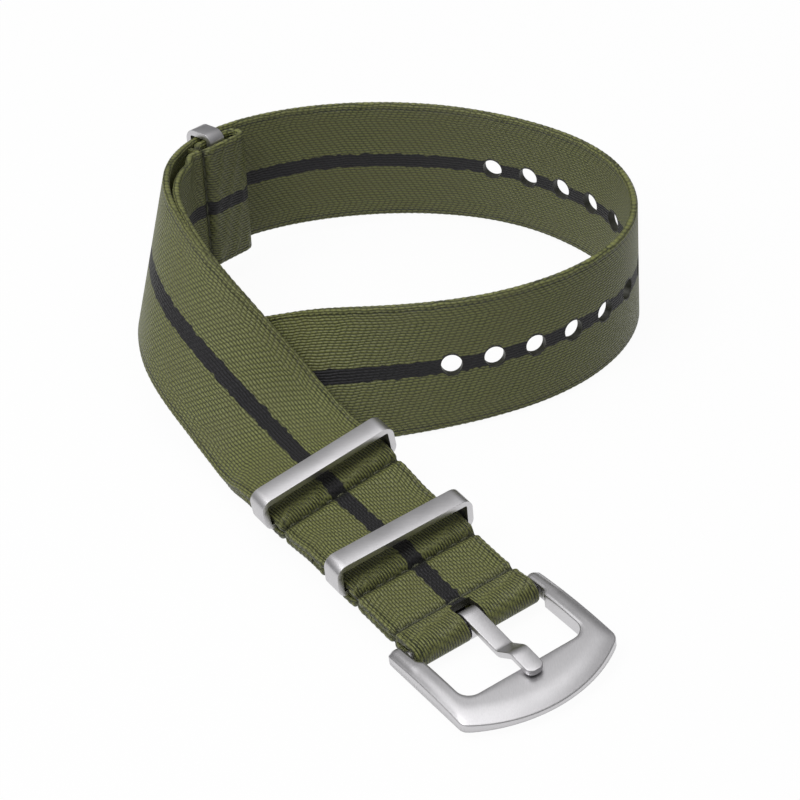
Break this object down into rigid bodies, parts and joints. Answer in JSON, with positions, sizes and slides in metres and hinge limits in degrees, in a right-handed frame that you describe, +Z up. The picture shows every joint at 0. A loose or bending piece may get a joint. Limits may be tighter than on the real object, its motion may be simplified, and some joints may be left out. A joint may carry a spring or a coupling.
{
  "type": "nato watch strap",
  "caption": "Woven nylon watch strap in one long band with a short second band under it, a pin buckle on a spring bar, steel keeper loops and a row of adjustment holes.",
  "frame": {"origin": "on the ground under the middle of the standing strap's bounding box", "axes": "+Z up, +Y from the buckle end at the front to the back of the loop, +X to the right of the loop seen from the buckle end"},
  "size_m": [0.076, 0.1224, 0.0258],
  "materials": {
    "webbing": "matte woven nylon, olive green with a black middle stripe",
    "thread": "matte polyester thread",
    "brushed_steel": "satin brushed stainless steel",
    "spring_steel": "bright drawn steel"
  },
  "bodies": {
    "strap": {"main_strap": "webbing", "flap_strap": "webbing", "stitches_buckle": "thread", "stitches_keeper_front_a": "thread", "stitches_keeper_front_b": "thread", "stitches_keeper_rear_a": "thread", "stitches_keeper_rear_b": "thread", "stitches_flap": "thread", "spring_bar_tube": "spring_steel", "spring_bar_spring": "spring_steel"},
    "buckle": {"buckle_frame": "brushed_steel"},
    "tongue": {"buckle_tongue": "brushed_steel"},
    "plunger_upper": {"spring_bar_plunger_upper": "spring_steel"},
    "plunger_lower": {"spring_bar_plunger_lower": "spring_steel"},
    "keeper_front": {"keeper_front": "brushed_steel"},
    "keeper_rear": {"keeper_rear": "brushed_steel"},
    "end_ring": {"end_ring": "brushed_steel"}
  },
  "joints": [
    {"name": "buckle_swing", "type": "hinge", "parent": "strap", "child": "buckle", "pos_m": [0.00901, -0.04157, 0.00237], "axis": [-0.8356, -0.5484, -0.0308], "range_deg": [-45, 45]},
    {"name": "tongue_swing", "type": "hinge", "parent": "buckle", "child": "tongue", "pos_m": [0.00901, -0.04157, 0.00237], "axis": [-0.8356, -0.5484, -0.0308], "range_deg": [0, 65]},
    {"name": "spring_bar_upper_slide", "type": "slide", "parent": "strap", "child": "plunger_upper", "axis": [-0.8356, -0.5484, -0.0308], "range_m": [0, 0.001], "stiffness_N_per_m": 250, "springref_m": -0.002, "deforming": ["spring_bar_spring"]},
    {"name": "spring_bar_lower_slide", "type": "slide", "parent": "strap", "child": "plunger_lower", "axis": [0.8356, 0.5484, 0.0308], "range_m": [0, 0.001], "stiffness_N_per_m": 250, "springref_m": -0.002},
    {"name": "keeper_front_tilt", "type": "hinge", "parent": "strap", "child": "keeper_front", "pos_m": [0.00006, -0.02802, 0.00382], "axis": [-0.8356, -0.5484, -0.0308], "range_deg": [-8, 8]},
    {"name": "keeper_rear_tilt", "type": "hinge", "parent": "strap", "child": "keeper_rear", "pos_m": [-0.00984, -0.01305, 0.00517], "axis": [-0.8329, -0.5376, -0.1314], "range_deg": [-8, 8]},
    {"name": "end_ring_tilt", "type": "hinge", "parent": "strap", "child": "end_ring", "pos_m": [-0.02519, 0.04848, 0.01433], "axis": [-0.0529, -0.116, -0.9918], "range_deg": [-8, 8]}
  ]
}
